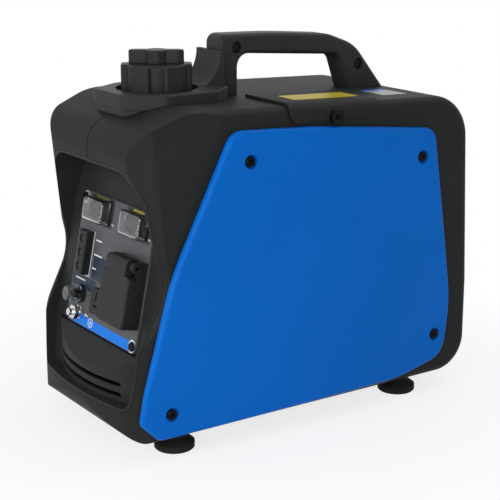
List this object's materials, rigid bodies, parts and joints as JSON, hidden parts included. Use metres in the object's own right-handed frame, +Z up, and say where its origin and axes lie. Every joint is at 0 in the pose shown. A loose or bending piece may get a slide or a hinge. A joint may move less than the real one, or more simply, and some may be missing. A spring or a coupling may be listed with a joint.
{
  "type": "portable generator",
  "caption": "Portable inverter generator: moulded suitcase casing with carrying handle, filler cap, recessed control panel, coloured side covers, pull starter and closed engine.",
  "frame": {"origin": "middle of the outline on the floor, between the feet", "axes": "+X to the right cover, +Y to the rear wall, +Z up; the control panel faces -Y"},
  "size_m": [0.194, 0.362, 0.3308],
  "materials": {
    "case_plastic": "moulded charcoal plastic with a fine spark-eroded grain",
    "cover_plastic": "moulded-in blue plastic, satin gloss",
    "black_plastic": "black moulded plastic",
    "panel_sheet": "printed grey overlay on a flat plate",
    "clear_silicone": "clear moulded silicone",
    "rubber": "moulded black rubber",
    "zinc_screw": "black oxide steel screw",
    "plated_metal": "bright plated",
    "outlet_plastic": "black moulded nylon",
    "lens": "tinted lamp lens",
    "tank_plastic": "blow-moulded black polyethylene",
    "cast_aluminium": "die cast",
    "steel": "machined steel",
    "lamination": "varnished lamination stack",
    "muffler_steel": "heat-resistant paint on sheet steel",
    "hose_rubber": "extruded hose",
    "plug_cap_rubber": "moulded rubber"
  },
  "bodies": {
    "base": {"ac_lid_pin": "steel", "ac_outlet_base": "outlet_plastic", "ac_receptacle": "outlet_plastic", "air_filter_housing": "black_plastic", "carburettor": "cast_aluminium", "control_panel": "panel_sheet", "control_panel_screws": "zinc_screw", "crankcase": "cast_aluminium", "cylinder_barrel": "cast_aluminium", "cylinder_head": "cast_aluminium", "dc_breaker_body": "outlet_plastic", "dc_breaker_boot": "clear_silicone", "dc_socket": "outlet_plastic", "economy_switch_body": "black_plastic", "economy_switch_boot": "clear_silicone", "engine_mounts": "rubber", "engine_switch_body": "black_plastic", "engine_switch_boot": "clear_silicone", "fan_shroud": "black_plastic", "filler_deck": "black_plastic", "front_frame": "case_plastic", "fuel_hose": "hose_rubber", "fuel_tank": "tank_plastic", "ground_nut": "plated_metal", "ground_terminal": "plated_metal", "handle_screws": "zinc_screw", "inverter_module": "cast_aluminium", "lamp_bar": "outlet_plastic", "lamp_lenses": "lens", "left_casing": "case_plastic", "left_handle_half": "black_plastic", "left_side_cover": "cover_plastic", "main_bearings": "steel", "maintenance_cover_screw": "zinc_screw", "muffler": "muffler_steel", "recoil_housing": "black_plastic", "right_casing": "case_plastic", "right_handle_half": "black_plastic", "right_side_cover": "cover_plastic", "rubber_feet": "rubber", "side_cover_screws": "zinc_screw", "spark_plug": "steel", "spark_plug_cap": "plug_cap_rubber", "stator": "lamination", "valve_cover": "black_plastic"},
    "cap_lift": {"fuel_cap_liner": "rubber"},
    "cap": {"fuel_cap": "black_plastic"},
    "vent_knob": {"fuel_cap_vent_knob": "black_plastic"},
    "engine_rocker": {"engine_switch_rocker": "black_plastic"},
    "economy_rocker": {"economy_switch_rocker": "black_plastic"},
    "outlet_lid": {"ac_outlet_lid": "outlet_plastic"},
    "breaker_button": {"dc_breaker_button": "outlet_plastic"},
    "hatch": {"maintenance_cover": "case_plastic"},
    "grip": {"recoil_grip": "black_plastic"},
    "reel": {"recoil_reel": "black_plastic"},
    "crank": {"crankshaft": "steel", "rotor": "steel", "cooling_fan": "black_plastic"},
    "choke": {"choke_knob": "black_plastic"}
  },
  "joints": [
    {"name": "fuel_cap_lift", "type": "slide", "parent": "base", "child": "cap_lift", "axis": [0, 0, 1], "range_m": [0, 0.045]},
    {"name": "fuel_cap_turn", "type": "hinge", "parent": "cap_lift", "child": "cap", "pos_m": [0, -0.096, 0.298], "axis": [0, 0, 1], "range_deg": [0, 180]},
    {"name": "vent_knob_turn", "type": "hinge", "parent": "cap", "child": "vent_knob", "pos_m": [0, -0.096, 0.312], "axis": [0, 0, 1], "range_deg": [0, 90]},
    {"name": "engine_switch_rock", "type": "hinge", "parent": "base", "child": "engine_rocker", "pos_m": [-0.027, -0.13653, 0.1846], "axis": [0, -0.1994, -0.9799], "range_deg": [0, 20]},
    {"name": "economy_switch_rock", "type": "hinge", "parent": "base", "child": "economy_rocker", "pos_m": [0.036, -0.13653, 0.1846], "axis": [0, -0.1994, -0.9799], "range_deg": [0, 20]},
    {"name": "outlet_lid_swing", "type": "hinge", "parent": "base", "child": "outlet_lid", "pos_m": [0.0385, -0.15212, 0.15562], "axis": [-1, 0, 0], "range_deg": [0, 110], "stiffness_Nm_per_rad": 0.02, "springref_deg": -17.19},
    {"name": "breaker_button_trip", "type": "slide", "parent": "base", "child": "breaker_button", "axis": [0, -0.9799, 0.1994], "range_m": [0, 0.004]},
    {"name": "maintenance_cover_lift", "type": "slide", "parent": "base", "child": "hatch", "axis": [0, 0, 1], "range_m": [0, 0.04]},
    {"name": "starter_grip_pull", "type": "slide", "parent": "base", "child": "grip", "axis": [-1, 0, 0], "range_m": [0, 0.55]},
    {"name": "starter_reel_turn", "type": "hinge", "parent": "base", "child": "reel", "pos_m": [-0.08, 0.045, 0.09], "axis": [1, 0, 0], "range_deg": [0, 1320]},
    {"name": "crank_turn", "type": "hinge", "parent": "base", "child": "crank", "pos_m": [0, 0.045, 0.09], "axis": [1, 0, 0], "continuous": true},
    {"name": "choke_turn", "type": "hinge", "parent": "base", "child": "choke", "pos_m": [-0.09, -0.098, 0.135], "axis": [-1, 0, 0], "range_deg": [0, 60]}
  ],
  "couplings": [
    {"joint": "starter_reel_turn", "follows": "starter_grip_pull", "rad_per_m": 41.667}
  ]
}
